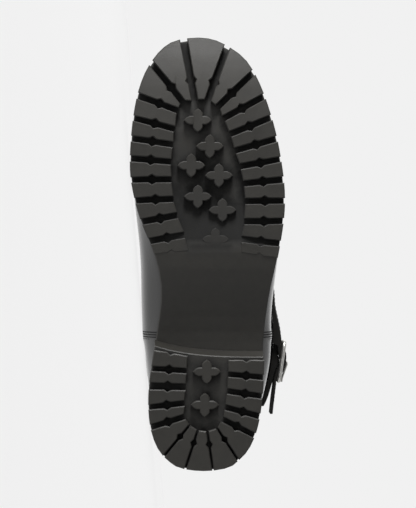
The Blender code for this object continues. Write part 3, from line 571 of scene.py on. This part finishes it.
# %% Lining on the inside
# A face is inside if it looks at another wall, or near the open collar, if it faces the shaft's middle
COLLAR_ZONE = 195.0
FACING_IN = 0.3
upper.data.materials.clear()
upper.data.materials.append(upper_leather)
upper.data.materials.append(lining)
skin_tree = BVHTree.FromObject(upper, bpy.context.evaluated_depsgraph_get())
places = [TO_BOOT @ vertex.co / MM for vertex in upper.data.vertices]
collar_places = [place for place in places if place.z > COLLAR_ZONE]
collar_middle = sum(collar_places, Vector()) / len(collar_places)
inner_corners = set()
for face in upper.data.polygons:
    place = TO_BOOT @ face.center / MM
    if place.z > COLLAR_ZONE:
        inward = Vector((collar_middle.x - place.x, collar_middle.y - place.y, 0.0)).normalized()
        inside = (TO_BOOT.to_3x3() @ face.normal).dot(inward) > FACING_IN
    else:
        inside = skin_tree.ray_cast(face.center + face.normal * MM, face.normal)[0] is not None
    face.material_index = int(inside)
    if inside:
        inner_corners.update(face.vertices)
print("lining corners:", len(inner_corners))

# %% Swell of both sides
# Above the sole the leather is drawn round the foot, so both sides swell there
# Side, middle (along, height), spread (along, height) and swell, all in millimetres
SWELLS = [(1.0, (74.0, 46.0), (29.0, 17.0), 5.9), (1.0, (46.0, 44.0), (14.0, 14.0), 1.6),
          (-1.0, (112.0, 66.0), (50.0, 15.0), 2.3)]
SWELL_REACH = 20.0


def swell(place):
    """Return how far a point of the boot swells outward, in millimetres."""
    total = 0.0
    for side, middle, spread, out in SWELLS:
        reach = ramp(place.y * side, 0.0, SWELL_REACH)
        off = ((place.x - middle[0]) / spread[0], (place.z - middle[1]) / spread[1])
        total += out * math.exp(-off[0] ** 2 - off[1] ** 2) * reach
    return total


print("largest swell", max(row[-1] for row in SWELLS), "mm")

# %% Press the folds into both faces of the skin
# Leather near the strap is held down, and none goes below the floor
CLEAR_OF_STRAP = 6.0 * MM
SLACK = 0.5
SLACK_SIZE = 34.0
SLACK_RISE = (45.0, 85.0)
strap_tree = BVHTree.FromObject(nodes["strap"], bpy.context.evaluated_depsgraph_get())
deepest = 0.0
moves = []
for vertex in upper.data.vertices:
    outward = -vertex.normal if vertex.index in inner_corners else vertex.normal
    place = TO_BOOT @ vertex.co / MM
    shift = fold_depth(place, (TO_BOOT.to_3x3() @ outward).normalized())
    shift += SLACK * noise.noise(place / SLACK_SIZE) * ramp(place.z, *SLACK_RISE)
    shift += swell(place)
    if strap_tree.find_nearest(vertex.co)[3] < CLEAR_OF_STRAP:
        shift = min(shift, 0.0)
    deepest = min(deepest, shift)
    moves.append(vertex.co + outward * shift * MM)
for vertex, move in zip(upper.data.vertices, moves):
    vertex.co = move
    vertex.co.z = max(vertex.co.z, 0.0)
select_only(upper)
bpy.ops.object.shade_smooth()
hand_over(upper, upper_leather, "upper_leather", "upper")
print("deepest fold", round(-deepest, 2), "mm")

# %% [markdown]
# ## Straps
# The ankle strap and the short tab that holds the buckle's bar are bands of leather. Their solids have the
# right path and thickness but square edges and a flat inside. On the copies, the inside is drawn on to the
# swollen shaft wherever nothing lies between them, and then they get rounded edges and a smooth run.

# %% Drawing a band tight
# Height of the strap's middle at the buckle, in millimetres on the boot's axes
STRAP_MIDDLE = 104.06
TIGHT_REACH = 7.0 * MM
TIGHT_GAP = 0.4 * MM


def draw_tight(band, skin, lower_bands, start, end):
    """Move the inside of a band, between two places along the boot, close to what lies under it."""
    drawn = 0
    for vertex in band.data.vertices:
        along, _, height = TO_BOOT @ vertex.co / MM
        if vertex.normal.dot(outer_axis) < 0.0 and start < along < end:
            middle = vertex.co + up_axis * (STRAP_MIDDLE - height) * MM
            hits = [skin.ray_cast(vertex.co, -outer_axis, TIGHT_REACH)[3]]
            hits += [tree.ray_cast(middle, -outer_axis, TIGHT_REACH)[3] for tree in lower_bands]
            gaps = [gap for gap in hits if gap is not None]
            if gaps:
                vertex.co -= outer_axis * (min(gaps) - TIGHT_GAP)
                drawn += 1
    print(band.name, "corners drawn tight:", drawn)


# %% Straps with rounded edges
# Solid, piece, edge, and start and end of the part that is drawn tight, in millimetres
BANDS = [("buckle_strap", "buckle_tab", 0.4, 30.0, 90.0),
         ("strap", "ankle_strap", 0.7, 73.0, 113.0)]
EDGE_BEND = math.radians(50.0)
upper_tree = BVHTree.FromObject(upper, bpy.context.evaluated_depsgraph_get())
lower_bands = []
for node, name, edge, start, end in BANDS:
    band = merged_copy(node, name)
    draw_tight(band, upper_tree, lower_bands, start, end)
    apply_modifier(band, "edges", "BEVEL", width=edge * MM, segments=3, limit_method="ANGLE",
                   angle_limit=EDGE_BEND)
    apply_modifier(band, "smooth", "SUBSURF", levels=1, render_levels=1)
    bpy.ops.object.shade_smooth()
    hand_over(band, strap_leather, "strap_leather", node)
    lower_bands.append(BVHTree.FromObject(band, bpy.context.evaluated_depsgraph_get()))
strap = bpy.data.objects["ankle_strap"]

# %% [markdown]
# ## Buckle
# The buckle is a bent wire frame with rounded corners and a bar across its middle. A plane with rounded
# corners loses its face, and the outline that is left becomes a curve with a round section.

# %% Wire frame
# Length and height between the wire's middles, corner radius and wire radius, in millimetres
BUCKLE_LONG = 28.5
BUCKLE_TALL = 26.4
BUCKLE_CORNER = 4.0
WIRE_RADIUS = 1.4
bpy.ops.object.select_all(action="DESELECT")
bpy.ops.mesh.primitive_plane_add(size=1.0)
buckle = bpy.context.object
buckle.name = "buckle_loop"
bpy.ops.object.mode_set(mode="EDIT")
bpy.ops.mesh.select_all(action="SELECT")
bpy.ops.transform.resize(value=(BUCKLE_LONG * MM, BUCKLE_TALL * MM, 1.0))
bpy.ops.mesh.bevel(offset=BUCKLE_CORNER * MM, segments=8, affect="VERTICES")
bpy.ops.mesh.select_all(action="SELECT")
bpy.ops.mesh.delete(type="ONLY_FACE")
bpy.ops.object.mode_set(mode="OBJECT")
bpy.ops.object.convert(target="CURVE")
buckle.data.bevel_depth = WIRE_RADIUS * MM
buckle.data.bevel_resolution = 5
bpy.ops.object.convert(target="MESH")
print("wire faces:", len(buckle.data.polygons))

# %% Middle bar, and the buckle set on the boot
BAR_RADIUS = 1.1
BUCKLE_PLACE = (70.0, 57.6, STRAP_MIDDLE)
BUCKLE_TURN = math.radians(8.5)
bpy.ops.object.select_all(action="DESELECT")
bpy.ops.mesh.primitive_cylinder_add(vertices=24, radius=BAR_RADIUS * MM, depth=BUCKLE_TALL * MM,
                                    rotation=(math.pi / 2.0, 0.0, 0.0))
bar = bpy.context.object
bpy.ops.object.transform_apply(location=True, rotation=True, scale=True)
apply_modifier(buckle, "bar", "BOOLEAN", operation="UNION", solver="EXACT", object=bar)
bpy.data.objects.remove(bar)
run = Vector((math.cos(BUCKLE_TURN), math.sin(BUCKLE_TURN), 0.0))
rise = Vector((0.0, 0.0, 1.0))
facing = Matrix((run, rise, run.cross(rise))).transposed().to_4x4()
buckle.matrix_world = BOOT @ Matrix.Translation(Vector(BUCKLE_PLACE) * MM) @ facing
select_only(buckle)
bpy.ops.object.transform_apply(location=True, rotation=True, scale=True)
bpy.ops.object.shade_smooth_by_angle(angle=math.radians(40.0))
hand_over(buckle, nickel, "buckle_metal", "buckle_frame")

# %% Nickel on the prong
# The prong is plain wire that its solid already gives, so it only needs its metal
prong = nodes["buckle_prong"]
prong.data.materials.clear()
prong.data.materials.append(nickel)
print("prong finish:", prong.data.materials[0].name)

# %% [markdown]
# ## Insole
# The insole is pressed felt with rounded edges and a shallow print of heel and ball.

# %% Insole with a print of the foot
# Middle (along, side) and half sizes of the heel's print and the ball's print, in millimetres
PRINTS = [((48.0, 0.0), (26.0, 20.0)), ((205.0, -4.0), (30.0, 28.0))]
PRINT_DEPTH = 0.9
FACING_UP = 0.6
insole = merged_copy("insole", "felt_insole")
apply_modifier(insole, "edges", "BEVEL", width=0.9 * MM, segments=2, limit_method="ANGLE",
               angle_limit=EDGE_BEND)
select_only(insole)
bpy.ops.object.mode_set(mode="EDIT")
bpy.ops.mesh.select_all(action="SELECT")
bpy.ops.mesh.subdivide(number_cuts=2)
bpy.ops.object.mode_set(mode="OBJECT")
for vertex in insole.data.vertices:
    place = TO_BOOT @ vertex.co / MM
    pressed = 0.0
    for middle, half in PRINTS:
        off = [(place[i] - middle[i]) / half[i] for i in range(2)]
        pressed += math.exp(-(off[0] ** 2 + off[1] ** 2))
    if vertex.normal.dot(up_axis) > FACING_UP:
        vertex.co -= up_axis * pressed * PRINT_DEPTH * MM
bpy.ops.object.shade_smooth_by_angle(angle=EDGE_BEND)
hand_over(insole, felt, "insole_fabric", "insole")

# %% [markdown]
# ## Stitches
# Rows of short stitches run along both edges of the side seams, round the collar and along the strap. One
# stitch is modelled as a small long bead and copied along the rows, half sunk in the leather.

# %% One stitch
STITCH_SIZE = (2.5, 0.75, 0.6)
bpy.ops.object.select_all(action="DESELECT")
bpy.ops.mesh.primitive_uv_sphere_add(segments=6, ring_count=4, radius=0.5)
stitch = bpy.context.object
bpy.ops.object.mode_set(mode="EDIT")
bpy.ops.mesh.select_all(action="SELECT")
bpy.ops.transform.rotate(value=math.pi / 2.0, orient_axis="Y", center_override=(0.0, 0.0, 0.0))
bpy.ops.transform.resize(value=[size * MM for size in STITCH_SIZE])
bpy.ops.object.mode_set(mode="OBJECT")
print("stitch faces:", len(stitch.data.polygons))

# %% Rows of stitches
UNDER_COVER = 1.9 * MM


def spaced(row, pitch):
    """Return place, direction and normal at equal steps along a row of places with normals."""
    steps = []
    due = pitch / 2.0
    for (start, normal), (end, _) in zip(row, row[1:]):
        length = (end - start).length
        while due < length:
            steps.append((start.lerp(end, due / length), (end - start).normalized(), normal))
            due += pitch
        due -= length
    return steps


def sew(name, rows, pitch, slot, covers):
    """Copy the stitch along rows, but not under covers, and hand the copies over as one piece."""
    made = bmesh.new()
    for row in rows:
        for place, run, normal in spaced(row, pitch * MM):
            if any(tree.find_nearest(place)[3] < UNDER_COVER for tree in covers):
                continue
            across = normal.cross(run).normalized()
            turn = Matrix((run, across, run.cross(across))).transposed().to_4x4()
            before = len(made.verts)
            made.from_mesh(stitch.data)
            made.verts.ensure_lookup_table()
            bmesh.ops.transform(made, matrix=Matrix.Translation(place) @ turn, verts=made.verts[before:])
    mesh = bpy.data.meshes.new(name)
    made.to_mesh(mesh)
    made.free()
    seam = bpy.data.objects.new(name, mesh)
    bpy.context.scene.collection.objects.link(seam)
    select_only(seam)
    bpy.ops.object.shade_smooth()
    hand_over(seam, thread, slot)


def touch(tree, start, aim):
    """Return where a line between two boot places first meets a piece, with its normal."""
    place, normal, _, _ = tree.ray_cast(at(*start), (at(*aim) - at(*start)).normalized())
    return place, normal


# %% Seam and collar rows
# Millimetres on the boot's axes: the rows are where lines from far outside first meet the leather
SEAM_ALONG = 91.2
SEAM_EDGES = (-1.8, 1.8)
SEAM_HEIGHTS = range(36, 232, 2)
SEAM_FAR = 120.0
COLLAR_ROW = 233.0
COLLAR_STEPS = 180
COLLAR_FAR = 150.0
SHAFT_MIDDLE = (78.0, 5.0)
UPPER_PITCH = 3.4
seam_rows = []
for far in (SEAM_FAR, -SEAM_FAR):
    for edge in SEAM_EDGES:
        along = SEAM_ALONG + edge
        seam_rows.append([touch(upper_tree, (along, far, height), (along, 0.0, height))
                          for height in SEAM_HEIGHTS])
sew("seam_stitches", seam_rows, UPPER_PITCH, "upper_leather", lower_bands)
collar_row = []
for step in range(COLLAR_STEPS + 1):
    turn = 2.0 * math.pi * step / COLLAR_STEPS
    far = (SHAFT_MIDDLE[0] + COLLAR_FAR * math.cos(turn), SHAFT_MIDDLE[1] + COLLAR_FAR * math.sin(turn),
           COLLAR_ROW)
    collar_row.append(touch(upper_tree, far, (*SHAFT_MIDDLE, COLLAR_ROW)))
sew("collar_stitches", [collar_row], UPPER_PITCH, "upper_leather", [])

# %% Rims of the strap
# On the solid, a rim is a long sharp edge between the outside and a narrow face that looks up or down
RIM_SHORTEST = 1.5 * MM
RIM_FACING = 0.4
END_FACING = 0.3


def way_out(place):
    """Return the level direction from the shaft's middle line to a world point."""
    away = place - at(*SHAFT_MIDDLE, 0.0)
    return (away - up_axis * away.dot(up_axis)).normalized()


def turn_at(corner):
    """Return the turn of a corner round the shaft, from the toe towards the outer side."""
    out = way_out(corner.co)
    return math.atan2(out.dot(outer_axis), out.dot(toe_axis))


def outer_rim(solid, facing):
    """Return the places along the rim of a band's outside that faces up or down, from its inner end on."""
    corners = set()
    for edge in solid.edges:
        narrow, wide = sorted(edge.link_faces, key=lambda face: face.calc_area())
        out = way_out(edge.verts[0].co)
        sharp = edge.calc_face_angle() > EDGE_BEND and edge.calc_length() > RIM_SHORTEST
        across_end = abs(narrow.normal.dot(up_axis.cross(out))) > END_FACING
        looks = wide.normal.dot(out) > 0.0 and narrow.normal.dot(facing) > RIM_FACING
        if sharp and looks and not across_end:
            corners.update(edge.verts)
    return [corner.co.copy() for corner in sorted(corners, key=turn_at)]


solid = bmesh.new()
solid.from_mesh(nodes["strap"].data)
bmesh.ops.remove_doubles(solid, verts=solid.verts, dist=MERGE_REACH)
lower_rim = outer_rim(solid, -up_axis)
upper_rim = outer_rim(solid, up_axis)
solid.free()
print("strap rim corners:", len(lower_rim), "and", len(upper_rim))

# %% Strap rows
# Each row lies between the rims, close to one of them, and stops before the corners of the tail's end
ROW_INSET = 0.13
STRAP_PITCH = 3.1
END_CORNERS = 2
strap_skin = BVHTree.FromObject(strap, bpy.context.evaluated_depsgraph_get())
strap_rows = []
for part in (ROW_INSET, 1.0 - ROW_INSET):
    line = [low.lerp(high, part) for low, high in zip(lower_rim[:-END_CORNERS], upper_rim[:-END_CORNERS])]
    strap_rows.append([strap_skin.find_nearest(place)[:2] for place in line])
buckle_tree = BVHTree.FromObject(buckle, bpy.context.evaluated_depsgraph_get())
sew("strap_stitches", strap_rows, STRAP_PITCH, "strap_leather", [buckle_tree])
bpy.data.objects.remove(stitch)

# %% [markdown]
# ## Floor and light
# A plain pale floor lies under the boot and runs into a pale background. The light is soft and comes
# mostly from beyond the toe, so that lugs which tilt up with the toe spring are the lightest, and the
# leather is rimmed by the bright room behind it.

# %% Floor
FLOOR_GLOW = 0.785
bpy.ops.object.select_all(action="DESELECT")
bpy.ops.mesh.primitive_plane_add(size=12.0, location=(0.0, 0.0, 0.0))
floor = bpy.context.object
floor.name = "floor"
floor_finish, floor_shader, _ = new_finish("pale_floor")
floor_shader["Base Color"].default_value = (0.10, 0.10, 0.10, 1.0)
floor_shader["Roughness"].default_value = 0.9
floor_shader["Specular IOR Level"].default_value = 0.1
floor_shader["Emission Color"].default_value = (1.0, 1.0, 1.0, 1.0)
floor_shader["Emission Strength"].default_value = FLOOR_GLOW
floor.data.materials.append(floor_finish)
print("floor", [round(size, 1) for size in floor.dimensions], "m")

# %% Pale room
# Each light runs smoothly between two values of the direction's Y part, from one strength to another
AROUND = (-0.8, 0.3, 0.20, 0.45)
BEHIND = (0.5, 1.0, 0.0, 0.7)
BACKGROUND = 0.879
world = bpy.data.worlds.new("pale_room")
world.use_nodes = True
bpy.context.scene.world = world
room = Paint(world.node_tree)
direction = room.add("ShaderNodeTexCoord", output="Generated")
across = room.add("ShaderNodeSeparateXYZ", None, {0: direction}, 1)
seen = room.add("ShaderNodeLightPath", output="Is Camera Ray")
shown = (across.step(*AROUND) + across.step(*BEHIND)) * (1.0 - seen) + seen * BACKGROUND
backdrop = world.node_tree.nodes["Background"]
feed(shown, backdrop.inputs["Strength"])
backdrop.inputs["Color"].default_value = (1.0, 1.0, 1.0, 1.0)
print("room light nodes:", len(world.node_tree.nodes))


# %% Soft lamp
def soft_lamp(name, place, aim, size, power):
    """Add a square area lamp that looks at a point."""
    lamp = bpy.data.lights.new(name, "AREA")
    lamp.size = size
    lamp.energy = power
    lamp_object = bpy.data.objects.new(name, lamp)
    bpy.context.scene.collection.objects.link(lamp_object)
    lamp_object.location = place
    lamp_object.rotation_mode = "QUATERNION"
    lamp_object.rotation_quaternion = (Vector(aim) - Vector(place)).to_track_quat("-Z", "Y")


soft_lamp("over_toe", place=(-1.55, -0.75, 0.15), aim=(0.0, -0.1, 0.05), size=0.6, power=55.0)
bpy.context.scene.view_settings.view_transform = "Standard"
